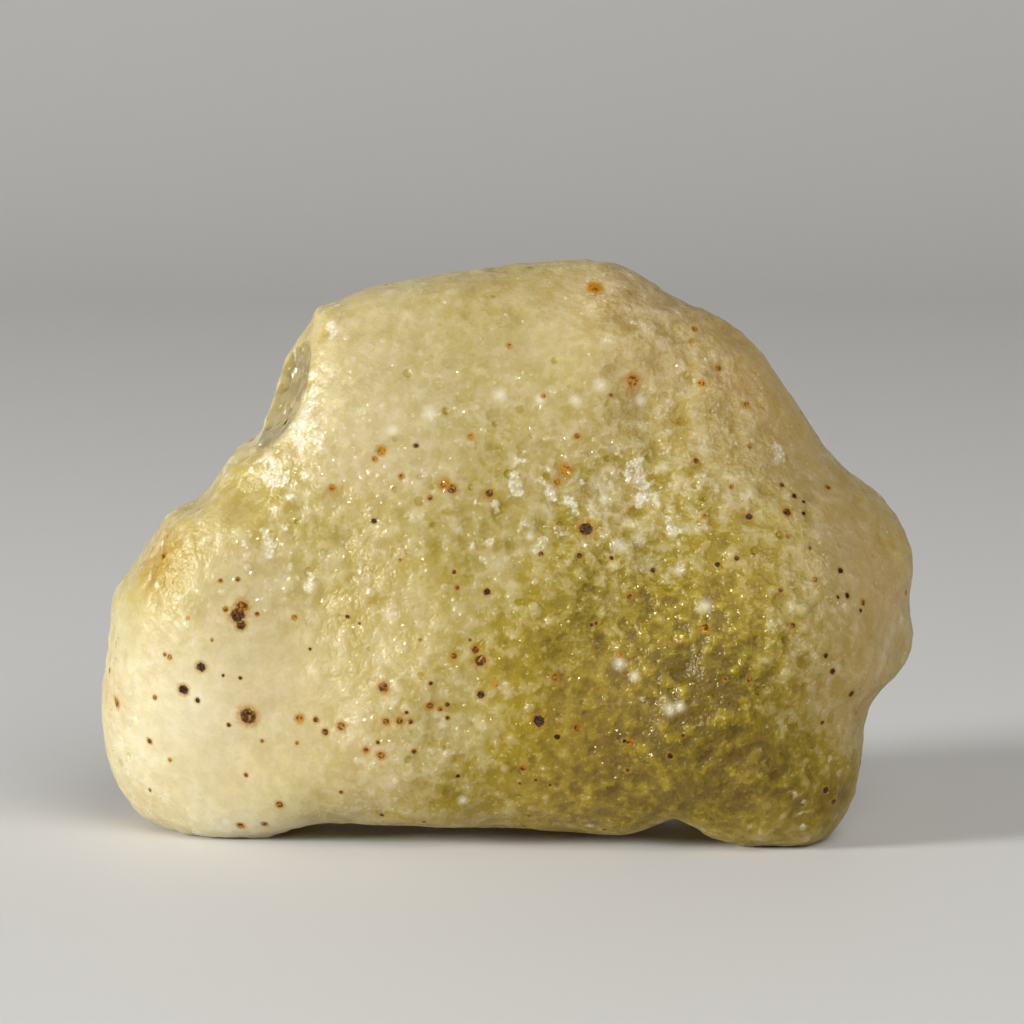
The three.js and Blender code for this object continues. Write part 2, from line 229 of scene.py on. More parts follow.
MIDDLE_SPECKS = [
    (381.4, 451, 4.5, 0.2), (374.8, 459, 2.7, 0.3), (416, 445.6, 2.6, 0.8), (332, 487.5, 3, 0.2),
    (401.5, 476.6, 3, 0.25), (445, 485, 5.5, 0.2), (452, 489, 5, 0.45), (489.5, 493.3, 4.2, 0.5),
    (430, 497.8, 3, 0.3), (470.5, 436.8, 3, 0.2), (565.4, 470, 6.2, 0.1), (557, 482.5, 3.5, 0.2),
    (577, 436, 3, 0.2), (585.8, 529, 7, 0.7), (579.4, 555.6, 2.8, 0.9), (611.5, 558, 2.3, 1.0),
    (541, 554, 2.7, 0.5), (487, 591.8, 3.6, 1.0), (454.2, 571.9, 2.2, 0.7), (457, 587.5, 2.6, 0.4),
    (480.5, 660.4, 6, 0.5), (475.3, 649.7, 4, 0.5), (454, 656, 3, 0.5), (383.4, 687.6, 5.5, 0.4),
    (481, 694.8, 4.2, 0.7), (495.5, 684.6, 2.6, 0.2), (430, 705.6, 4, 0.3), (440, 709, 2.7, 0.4),
    (447.7, 718, 2.2, 0.6), (386, 721.7, 3.6, 0.4), (399.5, 721, 3.5, 0.35), (410.5, 721.7, 2.7, 0.4),
    (539, 720.9, 6, 0.9), (557, 736.8, 3.2, 1.0), (577.3, 728, 3.7, 0.5), (554.8, 677.2, 3.6, 0.35),
    (523, 768, 3.7, 0.3), (457.9, 776, 2.4, 1.0), (381, 755.4, 4, 0.35), (632.6, 381, 6.5, 0.15),
    (611.2, 395.4, 2.2, 0.3), (509.3, 345.8, 2.7, 0.2), (595, 288, 7, 0.05), (382, 815, 2.4, 0.6),
    (431, 683.4, 2.2, 0.6), (447.4, 704.5, 2.5, 0.6), (406.7, 712.5, 2, 0.6), (366, 750, 3, 0.2),
    (414, 751.5, 2.6, 0.4), (378, 742.4, 2.2, 0.5), (424, 822, 2.2, 0.5), (519.7, 783.5, 1.8, 0.6),
    (535.7, 780, 1.8, 0.6), (550, 785, 1.8, 0.6), (524.5, 826, 2.2, 0.5), (543.4, 396.2, 2.2, 0.3),
    (591.4, 625, 2.2, 0.5), (470, 640, 1.6, 0.6), (420, 640, 1.6, 0.5), (400, 560, 1.7, 0.4),
]
RIGHT_SPECKS = [
    (624.3, 741, 2.4, 1.0), (629.6, 742.4, 3.7, 0.25), (670.2, 756, 3.2, 1.0), (653, 570.3, 2.6, 0.8),
    (705.3, 627.3, 3.6, 0.5), (749.6, 680, 2.6, 0.4), (725, 679.6, 2.2, 0.5), (717.2, 564.7, 3, 0.9),
    (736.5, 558.2, 2.6, 0.9), (704.6, 516, 2.6, 0.3), (695.7, 461, 3, 0.4), (731.4, 487, 2.6, 0.3),
    (749, 516.7, 3.7, 0.75), (782, 485, 2.7, 0.5), (794.2, 496, 2.8, 0.9), (803.7, 513.5, 2.3, 1.0),
    (787, 512, 4.6, 0.45), (781.1, 590.2, 2.6, 0.5), (792.9, 625.4, 2.7, 0.6), (827.8, 487.3, 3, 0.4),
    (840.4, 570.7, 3.2, 0.85), (847.2, 595.6, 2.8, 1.0), (863, 602.7, 3.2, 0.3),
    (860.8, 610.6, 2.2, 0.9), (838, 597.2, 2, 0.9), (825.7, 655.7, 2.7, 0.9), (832.5, 671.4, 3.2, 0.7),
    (851.7, 694, 3.6, 0.8), (825.7, 790, 3.8, 1.0), (834, 802, 3.5, 0.6), (659.5, 828.4, 3.2, 1.0),
    (906, 592.6, 2.7, 0.25), (694.6, 328.8, 3, 0.3), (691.5, 340.8, 2.6, 0.3),
    (718.3, 368.6, 3, 0.3), (701.5, 382.9, 3.6, 0.25), (746.6, 404.6, 3.2, 0.25),
    (803.7, 501.7, 1.9, 1.0), (788, 536.2, 2.2, 0.5), (749.9, 446.4, 2.6, 0.3), (753, 555, 1.9, 0.8),
    (815.2, 579.4, 2.6, 0.4), (683, 735.5, 1.9, 0.8), (627.7, 770, 2.2, 0.6), (619.9, 654.8, 2.6, 0.2),
    (629.5, 596.6, 3, 0.4), (856, 713, 1.9, 0.7), (822.3, 722.6, 2.2, 0.6), (604.6, 829.7, 2.2, 0.6),
    (860.4, 755, 3, 0.5), (860.4, 763, 3, 0.5), (596, 623, 2, 0.5), (810, 548, 1.7, 0.7),
]

# White balls just under the surface of the front: x, y and radius in pixels
WHITE_BALLS = [
    (638.3, 539.5, 9), (619.5, 545.8, 10), (679.7, 570, 8), (604.5, 498.7, 7), (529.7, 536, 6),
    (619, 663, 9), (634.5, 676, 7), (670, 709, 9), (680, 707, 8), (704.7, 606, 10), (589.8, 825.5, 6),
    (463, 800, 7), (443, 725, 6), (391, 614, 11), (654.8, 499, 5), (430, 414, 10), (392, 430, 8),
    (540, 400, 8), (600, 385, 9), (575, 400, 8), (640, 400, 8), (500, 395, 9), (310, 585, 9),
]

# Spots on the other sides: how many and their radii in pixels. They lie where the way out of the
# surface has more than this part along Y.
SPECKS_ELSEWHERE = {"count": 460, "radius": (1.2, 5.5)}
BALLS_ELSEWHERE = {"count": 150, "radius": (4, 9)}
SPOTS_BEHIND = -0.2

# A spot is told to the skin's faces as far from its middle as this many of its radii and a gap
SPOT_REACH = 2.2
SPOT_GAP = 2 * SKIN_VOXEL

# The glass's colours as they look on a screen, from 0 to 255
DEEP_OLIVE = (114, 94, 2)
OLIVE = (173, 151, 20)
CREAM = (243, 234, 200)
BEIGE = (216, 174, 114)
# The chip's grey is partly a painted reflection of dark surroundings in its clear glass
CHIP_GREY = (160, 145, 114)
FROST_AND_GLINT_WHITE = (255, 250, 228)
BALL_WHITE = (255, 249, 224)
HALO_AMBER = (190, 132, 6)
SPECK_AMBER = (204, 142, 0)
SPECK_BROWN = (92, 46, 0)
SPECK_BLACK = (9, 5, 2)
LIGHT_THROUGH_GLASS = (226, 214, 120)

# The most that each tinge covers
BEIGE_COVER = 0.7
CHIP_COVER = 0.5
BALL_COVER = 0.8
HALO_COVER = 0.65

# Irregular lumps in the glass: how large, how broken up, where they turn pale, and how much
# milkier they are where the glass is smooth and where it is coarse
LUMPY_SPAN = 0.62 * MM
LUMPY_DETAIL = 2.0
LUMPY_ROUGHNESS = 0.55
LUMPY_EDGES = (0.42, 0.62)
LUMPY_MILK = (0.08, 0.33)

# The finest grain, what else makes the glass milkier, or deeper olive in small pits as painted
# shade, and the milkiness over which olive deepens
FINE_SPAN = 0.15 * MM
FINE_MILK = 0.12
CRUMB_MILK = 0.25
DOME_MILK_AND_PIT_SHADE = 0.2
OLIVE_EDGES = (-0.6, 0.15)

# Frost and its painted glints: how much the lumps break its patches up, the edges of its
# clusters, and how white it is between grains and on them
FROST_AND_GLINT_BREAKS = 0.4
FROST_AND_GLINT_EDGES = (0.22, 0.5)
FROST_AND_GLINT_COVER = (0.25, 0.95)

# Where each spot's colour fades, in radii, how ragged and how mottled the specks are, and the
# tones over which their stain turns brown and then black. A face without a spot is given the
# smallest radius.
BALL_EDGES = (-0.2, 1.2)
HALO_EDGES = (0.9, 1.9)
STAIN_EDGES = (0.8, 1.05)
STAIN_RAGGEDNESS = 0.55
STAIN_MOTTLE = 1.4
BROWN_TONES = (0.0, 0.55)
BLACK_TONES = (0.5, 0.95)
SMALLEST_RADIUS = 0.001 * MM

# Small grains: the size of crumbs, the size of the facets that take over in the fresh chip and
# where they do, how far the outlines bend, and the edges of a grain. Then how likely a crumb is
# where the glass is smooth and where it is coarse, and how much frosted grains and facets lean.
CRUMB_SIZE = 0.19 * MM
FACET_SIZE = 0.5 * MM
FACET_EDGES = (0.4, 0.6)
GRAIN_BEND = 0.2 * MM
GRAIN_EDGES = (0.15, 0.75)
CRUMB_CHANCES = (-0.02, 0.22)
CRUMB_CHANCE_EDGES = (0.0, 0.02)
FROST_LEAN = 0.9
FACET_LEAN = 1.1

# Small domes: their spacing, their radii as shares of it, how likely one is where the glass is
# smooth and where it is coarse, where it ends, which of them are pits, and how steep they are
DOME_SPACING = 0.68 * MM
DOME_RADII = (0.22, 0.50)
DOME_CHANCES = (-0.05, 0.70)
DOME_CHANCE_EDGES = (0.0, 0.05)
DOME_EDGES = (0.75, 1.0)
PIT_EDGES = (0.28, 0.32)
DOME_STEEPNESS = 0.75

# The lumps' height in the skin, its share where the glass is smooth and where it is coarse, how
# much a dome shines, and the roughness of dull glass and of what shines
BUMP_HEIGHT = 0.34 * MM
BUMP_SHARES = (0.2, 1.0)
DOME_SHINE = 0.5
ROUGHNESS = (0.44, 0.2)

# The studio: soft lights that face the lump, in metres and watts, a pale floor and a dim room
LIGHTS = {
    "key": {"place": (-0.54, -0.26, 0.15), "size": 0.16, "power": 5.2},
    "fill": {"place": (0.22, -0.46, 0.38), "size": 0.5, "power": 2.4},
}
LIGHTS_AIM = Vector((0, 0, 0.015))
FLOOR_COLOUR = (0.68, 0.67, 0.65, 1)
FLOOR_ROUGHNESS = 0.6
ROOM_COLOUR = (0.52, 0.5, 0.47, 1)
ROOM_STRENGTH = 0.3


def make_camera():
    data = bpy.data.cameras.new("camera")
    data.sensor_width = SENSOR_WIDTH
    data.lens = SENSOR_WIDTH * VIEW_DISTANCE / VIEW_WIDTH
    data.clip_start = 0.01
    data.clip_end = 10
    camera = bpy.data.objects.new("camera", data)
    bpy.context.scene.collection.objects.link(camera)
    back = Vector((0, -math.cos(VIEW_ELEVATION), math.sin(VIEW_ELEVATION)))
    camera.location = VIEW_CENTRE + back * VIEW_DISTANCE
    camera.rotation_euler = (math.pi / 2 - VIEW_ELEVATION, 0, 0)
    bpy.context.scene.camera = camera
    bpy.context.view_layer.update()
    return camera


def skin_of(node):
    """A fine even mesh over the node's solid."""
    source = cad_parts[node]
    skin = bpy.data.objects.new("worn_glass", source.data.copy())
    bpy.context.scene.collection.objects.link(skin)
    skin.data.materials.clear()
    remesh = skin.modifiers.new("skin", "REMESH")
    remesh.mode = "VOXEL"
    remesh.voxel_size = SKIN_VOXEL
    bpy.context.view_layer.update()
    fine = skin.evaluated_get(bpy.context.evaluated_depsgraph_get())
    skin.data = bpy.data.meshes.new_from_object(fine)
    skin.modifiers.clear()
    skin.data.polygons.foreach_set("use_smooth", np.ones(len(skin.data.polygons), bool))
    return skin


def between(ends, share):
    """The value at a share of the way from the first end to the second."""
    return ends[0] + (ends[1] - ends[0]) * share


def smooth_step(edges, value):
    """Goes softly from 0 to 1 as the value passes the two edges."""
    share = np.clip((value - edges[0]) / (edges[1] - edges[0]), 0, 1)
    return share * share * (3 - 2 * share)


class Surface:
    """The skin's points and normals while they are shaped, and places found on it."""

    def __init__(self, mesh, camera):
        self.mesh = mesh
        self.camera = camera
        self.points = np.empty(len(mesh.vertices) * 3)
        mesh.vertices.foreach_get("co", self.points)
        self.points = self.points.reshape(-1, 3)
        edges = np.empty(len(mesh.edges) * 2, int)
        mesh.edges.foreach_get("vertices", edges)
        ends = edges.reshape(-1, 2)
        self.near = np.concatenate((ends[:, 0], ends[:, 1]))
        self.far = np.concatenate((ends[:, 1], ends[:, 0]))
        self.faces = [tuple(face.vertices) for face in mesh.polygons]
        self.refresh()

    def refresh(self):
        """Puts the moved points in the mesh and reads its new normals."""
        self.mesh.vertices.foreach_set("co", self.points.astype(np.float32).ravel())
        self.mesh.update()
        normals = np.empty(len(self.points) * 3)
        self.mesh.vertex_normals.foreach_get("vector", normals)
        self.normals = normals.reshape(-1, 3)
        self.bvh = BVHTree.FromPolygons([Vector(point) for point in self.points], self.faces)

    def wear(self, passes, share=1.0):
        """Draws each point halfway to the middle of its neighbours, or by a share of that."""
        count = len(self.points)
        neighbours = np.bincount(self.near, minlength=count)
        pull = 0.5 * np.broadcast_to(share, count)[:, None]
        for _ in range(passes):
            sums = [
                np.bincount(self.near, self.points[self.far, axis], count) for axis in range(3)
            ]
            middles = np.stack(sums, 1) / neighbours[:, None]
            self.points = self.points + (middles - self.points) * pull
        self.refresh()

    def at_pixel(self, x, y):
        """The place on the front that the photograph shows at a pixel."""
        side = SENSOR_WIDTH / self.camera.data.lens / PHOTO_PIXELS
        across = (x - PHOTO_PIXELS / 2) * side
        up = (PHOTO_PIXELS / 2 - y) * side
        turn = self.camera.matrix_world.to_3x3()
        start = self.camera.matrix_world.translation
        return self.bvh.ray_cast(start, turn @ Vector((across, up, -1)))[0]

    def way_out(self, place, radius):
        """The mean way out of the surface around a place."""
        near = np.linalg.norm(self.points - place, axis=1) < radius
        way = self.normals[near].sum(axis=0)
        return way / np.linalg.norm(way)

    def zone_field(self, base, zones):
        """At each point, a base amount and what the soft zones around pixels add."""
        field = np.full(len(self.points), float(base))
        for x, y, radius, amount in zones:
            middle = self.at_pixel(x, y)
            if middle is None:
                continue
            distance = np.linalg.norm(self.points - np.array(middle), axis=1)
            field += amount * np.exp(-((distance / (radius * PIXEL)) ** 2))
        return field

    def noise_field(self, waves, octaves=2):
        """Soft noise that goes up and down by about the waves' amount. Each octave is half as
        high and half as long as the one before it."""
        fall, growth = 1.0, 2.0
        offset = Vector((waves["shift"], waves["shift"] / 2, -waves["shift"]))
        scale = 1 / waves["span"]
        return waves["amount"] * np.array([
            noise.fractal(Vector(point) * scale + offset, fall, growth, octaves)
            for point in self.points
        ])

    def push(self, amount):
        """Moves every point out along its normal, or in where the amount is negative."""
        self.points = self.points + self.normals * np.asarray(amount)[:, None]


def chip_reach(surface):
    """How far each point is from the chip's middle: 1 on the hollow's surface."""
    return np.linalg.norm((surface.points - FRESH_CHIP_MIDDLE) / FRESH_CHIP_HALF, axis=1)


def off_chip(surface):
    """0 in the chip, growing to 1 around it."""
    return smooth_step(WEAR_AROUND_CHIP, chip_reach(surface))


def wear_down(surface):
    """Wears the solid's facets away, most on the faces and hardly at the fresh chip."""
    surface.wear(WEAR_ON_EDGES, between((WEAR_IN_CHIP, 1), off_chip(surface)))
    on_face = smooth_step(SQUARE_FACES, np.abs(surface.normals[:, 1]))
    surface.wear(WEAR_ON_FACES, on_face * off_chip(surface))


def cut_chip(surface):
    """Draws the points inside the chip's hollow out to its surface. Gives 1 for each point in
    the hollow, falling to 0 around its rim."""
    reach = chip_reach(surface)
    inside = reach < 1
    offset = surface.points[inside] - FRESH_CHIP_MIDDLE
    surface.points[inside] = FRESH_CHIP_MIDDLE + offset / reach[inside, None]
    surface.refresh()
    return 1 - smooth_step(FRESH_CHIP_RIM, reach)


def cut_scars(surface, scars):
    """Hollows the surface where flakes came off. Each scar is a shallow bowl with a crisp rim."""
    for place, outward, radius, depth in scars:
        bowl = (radius * radius + depth * depth) / (2 * depth)
        middle = place + outward * (bowl - depth)
        offset = surface.points - middle
        reach = np.linalg.norm(offset, axis=1)
        near = np.linalg.norm(surface.points - place, axis=1) < SCAR_REACH * radius
        inside = near & (reach < bowl)
        surface.points[inside] = middle + offset[inside] * (bowl / reach[inside, None])
    surface.refresh()


def seen_scars(surface):
    """The scars that the photograph shows, as places, ways out, radii and depths."""
    scars = []
    for x, y, radius, depth in SCARS:
        place = surface.at_pixel(x, y)
        if place is not None:
            outward = surface.way_out(np.array(place), radius * PIXEL)
            scars.append((np.array(place), outward, radius * PIXEL, depth))
    return scars


def scattered_scars(surface, random):
    """Scars on the sides that the photograph doesn't show, a few large and most small."""
    high_enough = surface.points[:, 2] > LOWEST_SCAR
    hidden = np.flatnonzero((surface.normals[:, 1] > SCARS_BEHIND) & high_enough)
    scars = []
    for index in random.choice(hidden, SCARS_ELSEWHERE["count"], replace=False):
        radius = between(SCARS_ELSEWHERE["radius"], random.random() ** SCAR_POWER)
        place = surface.points[index]
        depth = between(SCARS_ELSEWHERE["depth"], random.random()) * radius
        scars.append((place, surface.way_out(place, radius), radius, depth))
    return scars


def raise_waves(surface, strength):
    for wave in WAVES:
        surface.push(surface.noise_field(wave) * strength)
    surface.refresh()


def press_dots(surface, strength, dots, random):
    """Presses round pits in, or raises round lumps: more and stronger where the relief is
    strong. Gives the height that they add at each point."""
    tree = kdtree.KDTree(len(surface.points))
    for index, point in enumerate(surface.points):
        tree.insert(Vector(point), index)
    tree.balance()
    height = np.zeros(len(surface.points))
    chance = np.maximum(strength - LEAST_RELIEF_WITH_DOTS, 0)
    middles = random.choice(len(surface.points), dots["count"], p=chance / chance.sum())
    for index in middles:
        radius = between(dots["radius"], random.random() ** DOT_POWER)
        share = dots["height"] * between(DOT_HEIGHTS, random.random())
        top = share * radius * strength[index]
        for _, near, distance in tree.find_range(Vector(surface.points[index]), radius):
            dome = (1 - (distance / radius) ** 2) * top
            if abs(dome) > abs(height[near]):
                height[near] = dome
    surface.push(height)
    surface.refresh()
    return height


def keep_above_floor(surface):
    surface.points[:, 2] = np.maximum(surface.points[:, 2], 0)
    surface.refresh()


def store(mesh, name, values, kind="FLOAT", domain="POINT"):
    """Keeps values on the mesh, for its material to read by name."""
    layer = mesh.attributes.new(name, kind, domain)
    field = "vector" if kind == "FLOAT_VECTOR" else "value"
    layer.data.foreach_set(field, np.asarray(values, np.float32).ravel())


def seen_spots(surface, listed):
    """The spots that the photograph shows, as places, radii and tones. A ball has no tone."""
    spots = []
    for x, y, radius, *tone in listed:
        place = surface.at_pixel(x, y)
        if place is not None:
            spots.append((np.array(place), radius * PIXEL, tone[0] if tone else 0.0))
    return spots


def scattered_spots(surface, wanted, random):
    """Spots on the sides that the photograph doesn't show, many small ones and few large."""
    hidden = np.flatnonzero(surface.normals[:, 1] > SPOTS_BEHIND)
    spots = []
    for index in random.choice(hidden, wanted["count"], replace=False):
        radius = between(wanted["radius"], random.random() ** SPOT_POWER) * PIXEL
        spots.append((surface.points[index], radius, random.random()))
    return spots


def mark_spots(surface, name, spots):
    """Tells each face which spot is nearest: its place, radius and tone."""
    mesh = surface.mesh
    count = len(mesh.polygons)
    middles = np.empty(count * 3)
    mesh.polygons.foreach_get("center", middles)
    middles = middles.reshape(-1, 3)
    tree = kdtree.KDTree(count)
    for index, middle in enumerate(middles):
        tree.insert(Vector(middle), index)
    tree.balance()
    far_away = 1.0
    places = np.full((count, 3), far_away)
    radii = np.zeros(count)
    tones = np.zeros(count)
    closest = np.full(count, np.inf)
    for place, radius, tone in spots:
        for _, index, distance in tree.find_range(Vector(place), SPOT_REACH * radius + SPOT_GAP):
            if distance - radius < closest[index]:
                closest[index] = distance - radius
                places[index] = place
                radii[index] = radius
                tones[index] = tone
    store(mesh, name + "_place", places, "FLOAT_VECTOR", "FACE")
    store(mesh, name + "_radius", radii, "FLOAT", "FACE")
    store(mesh, name + "_tone", tones, "FLOAT", "FACE")


class Nodes:
    """Builds a material's nodes: an input is a number, a colour or another node's output."""

    def __init__(self, name):
        self.material = bpy.data.materials.new(name)
        self.material.use_nodes = True
        self.tree = self.material.node_tree
        self.shader = self.tree.nodes["Principled BSDF"]
        self.output = self.tree.nodes["Material Output"]

    def feed(self, socket, value):
        if isinstance(value, bpy.types.NodeSocket):
            self.tree.links.new(value, socket)
        else:
            socket.default_value = value

    def add(self, kind, inputs, result=0, **settings):
        node = self.tree.nodes.new(kind)
        for name, value in settings.items():
            setattr(node, name, value)
        for name, value in inputs.items():
            self.feed(node.inputs[name], value)
        return node.outputs[result]

    def maths(self, operation, *values):
        return self.add("ShaderNodeMath", dict(enumerate(values)), operation=operation)

    def held(self, value):
        """The value, held from 0 to 1."""
        return self.add("ShaderNodeClamp", {"Value": value})

    def between(self, ends, share):
        """The value at a share of the way from the first end to the second."""
        return self.maths("MULTIPLY_ADD", share, ends[1] - ends[0], ends[0])

    def step(self, value, edges, ends=(0.0, 1.0)):
        """Goes softly from the first end to the second as the value passes the two edges."""
        inputs = {"Value": value, "From Min": edges[0], "From Max": edges[1]}
        inputs.update({"To Min": ends[0], "To Max": ends[1]})
        return self.add("ShaderNodeMapRange", inputs, interpolation_type="SMOOTHSTEP")

    def blend(self, share, first, second):
        """Two colours mixed: the node takes them at its inputs 6 and 7."""
        node = self.tree.nodes.new("ShaderNodeMix")
        node.data_type = "RGBA"
        for index, value in ((0, share), (6, first), (7, second)):
            self.feed(node.inputs[index], value)
        return node.outputs[2]

    def cover(self, glass, share, most, colour):
        """A colour laid over the glass, by a share of the most that it covers."""
        return self.blend(self.maths("MULTIPLY", share, most), glass, linear(colour))

    def number(self, name):
        return self.add("ShaderNodeAttribute", {}, "Fac", attribute_name=name)

    def vector(self, name):
        return self.add("ShaderNodeAttribute", {}, "Vector", attribute_name=name)

    def noise(self, place, span, detail=0.0, roughness=0.5):
        inputs = {"Vector": place, "Scale": 1 / span, "Detail": detail, "Roughness": roughness}
        return self.add("ShaderNodeTexNoise", inputs)

    def vector_maths(self, operation, *values):
        return self.add("ShaderNodeVectorMath", dict(enumerate(values)), operation=operation)

    def scaled(self, vector, amount):
        inputs = {0: vector, "Scale": amount}
        return self.add("ShaderNodeVectorMath", inputs, operation="SCALE")


def linear(colour):
    """A colour given as it looks on a screen, from 0 to 255, as Blender's linear one."""
    def straight(value):
        value /= 255
        return value / 12.92 if value <= 0.04045 else ((value + 0.055) / 1.055) ** 2.4
    red, green, blue = colour
    return (straight(red), straight(green), straight(blue), 1.0)


def glass_material():
    """Glass that is clear and olive in places, milky and pale in others, frosted and stained, with
    light and shade, glints, the glow of thin edges and a reflection in the chip partly painted in.
    """
    nodes = Nodes("frosted_glass")
    place = nodes.add("ShaderNodeTexCoord", {}, "Object")
    lumpy = nodes.noise(place, LUMPY_SPAN, LUMPY_DETAIL, LUMPY_ROUGHNESS)
    pale = nodes.step(lumpy, LUMPY_EDGES, (-0.5, 0.5))
    fine = nodes.maths("SUBTRACT", nodes.noise(place, FINE_SPAN), 0.5)
    coarse = nodes.held(nodes.number("coarse"))
    patch = nodes.held(nodes.number("frost_and_glint"))
    fresh = nodes.number("fresh")
    crumb, grain, tilt = crumbs(nodes, place, fine, coarse, patch, fresh)
    dome, slope = domes(nodes, place, coarse)

    glass = body_colour(nodes, coarse, pale, fine, crumb, dome)
    # Beige: weathering, and painted glow of light through the thin top and right edges
    glass = nodes.cover(glass, nodes.held(nodes.number("warm")), BEIGE_COVER, BEIGE)
    # Grey in the chip: clearer glass, and partly a painted reflection of dark surroundings
    glass = nodes.cover(glass, fresh, CHIP_COVER, CHIP_GREY)
    # White frost and its crushed grains, partly painted glints
    glass = frosted_and_glinting(nodes, glass, patch, pale, grain)
    glass = nodes.cover(glass, spot_share(nodes, place, "ball", BALL_EDGES), BALL_COVER, BALL_WHITE)
    glass = stained(nodes, glass, place, fine)

    shine = nodes.maths("MAXIMUM", nodes.maths("MULTIPLY", dome, DOME_SHINE), crumb)
    shine = nodes.maths("MAXIMUM", shine, fresh)
    looks = {
        "Base Color": glass,
        "Roughness": nodes.step(shine, (0.0, 1.0), ROUGHNESS),
        "Normal": relief_normal(nodes, lumpy, coarse, nodes.vector_maths("ADD", tilt, slope)),
        "Subsurface Weight": 0.8,
        "Subsurface Radius": (1.0, 0.85, 0.25),
        "Subsurface Scale": 4.0 * MM,
        "Transmission Weight": 0.4,
        "IOR": 1.46,
        "Specular Tint": (1.0, 0.92, 0.72, 1.0),
    }
    for name, value in looks.items():
        nodes.feed(nodes.shader.inputs[name], value)
    through = {"Color": linear(LIGHT_THROUGH_GLASS), "Density": 130.0}
    nodes.feed(nodes.output.inputs["Volume"], nodes.add("ShaderNodeVolumeAbsorption", through))
    return nodes.material


def body_colour(nodes, coarse, pale, fine, crumb, dome):
    """Clear olive glass and milky pale glass, mixed in clouds and in small irregular lumps. The
    milkiness also holds painted light and shade, and painted shade in the pits.
    """
    mixed = nodes.maths("MULTIPLY", pale, nodes.between(LUMPY_MILK, coarse))
    milk_and_painted_light = nodes.maths("ADD", mixed, nodes.number("milk_and_painted_light"))
    for value, amount in ((fine, FINE_MILK), (crumb, CRUMB_MILK), (dome, DOME_MILK_AND_PIT_SHADE)):
        milk_and_painted_light = nodes.maths("MULTIPLY_ADD", value, amount, milk_and_painted_light)
    olive = nodes.blend(nodes.step(milk_and_painted_light, OLIVE_EDGES), linear(DEEP_OLIVE), linear(OLIVE))
    return nodes.blend(nodes.held(milk_and_painted_light), olive, linear(CREAM))


def frosted_and_glinting(nodes, glass, patch, pale, grain):
    """The glass with clusters of white crushed grains in its frosted patches, whose white also paints
    glints.
    """
    cluster = nodes.step(nodes.maths("MULTIPLY_ADD", pale, FROST_AND_GLINT_BREAKS, patch), FROST_AND_GLINT_EDGES)
    frost_and_glint = nodes.maths("MULTIPLY", cluster, nodes.between(FROST_AND_GLINT_COVER, grain))
    return nodes.blend(frost_and_glint, glass, linear(FROST_AND_GLINT_WHITE))


def stained(nodes, glass, place, fine):
    """The glass with specks of iron stain, amber to nearly black, each in an amber halo."""
    ragged = nodes.maths("MULTIPLY", fine, STAIN_RAGGEDNESS)
    halo = spot_share(nodes, place, "speck", HALO_EDGES, ragged)
    stain = spot_share(nodes, place, "speck", STAIN_EDGES, ragged)
    tone = nodes.maths("MULTIPLY_ADD", fine, STAIN_MOTTLE, nodes.number("speck_tone"))
    rust = nodes.blend(nodes.step(tone, BROWN_TONES), linear(SPECK_AMBER), linear(SPECK_BROWN))
    rust = nodes.blend(nodes.step(tone, BLACK_TONES), rust, linear(SPECK_BLACK))
    glass = nodes.cover(glass, halo, HALO_COVER, HALO_AMBER)
    return nodes.blend(stain, glass, rust)


def relief_normal(nodes, lumpy, coarse, leaning):
    """The way out of low lumps, higher where it is coarse, and of what leans on them."""
    height = nodes.maths("MULTIPLY", lumpy, nodes.between(BUMP_SHARES, coarse))
    inputs = {"Height": height, "Distance": BUMP_HEIGHT, "Strength": 1.0}
    bump = nodes.add("ShaderNodeBump", inputs)
    return nodes.vector_maths("NORMALIZE", nodes.vector_maths("ADD", bump, leaning))


def crumbs(nodes, place, fine, coarse, patch, fresh):
    """Small leaning grains: glinting crumbs here and there where it is coarse, crushed grains
    all over the frosted patches, and larger facets in the fresh chip. Gives the crumbs' share,
    how near each place is to the middle of its grain, and the way that the grain leans."""
    bend = nodes.add("ShaderNodeCombineXYZ", {"X": fine, "Y": fine, "Z": fine})
    bent = nodes.vector_maths("MULTIPLY_ADD", bend, (GRAIN_BEND,) * 3, place)
    scale = nodes.step(fresh, FACET_EDGES, (1 / CRUMB_SIZE, 1 / FACET_SIZE))
    reach = nodes.add("ShaderNodeTexVoronoi", {"Vector": bent, "Scale": scale})
    chances = reach.node.outputs["Color"]
    chance = nodes.add("ShaderNodeSeparateColor", {"Color": chances})
    grain = nodes.step(reach, GRAIN_EDGES, (1.0, 0.0))
    wanted = nodes.between(CRUMB_CHANCES, coarse)
    there = nodes.step(nodes.maths("SUBTRACT", wanted, chance), CRUMB_CHANCE_EDGES)
    crumb = nodes.maths("MULTIPLY", there, grain)
    lean = nodes.vector_maths("SUBTRACT", chances, (0.5, 0.5, 0.5))
    amount = nodes.maths("MULTIPLY", fresh, FACET_LEAN)
    amount = nodes.maths("MULTIPLY_ADD", patch, FROST_LEAN, amount)
    return crumb, grain, nodes.scaled(lean, nodes.maths("ADD", crumb, amount))


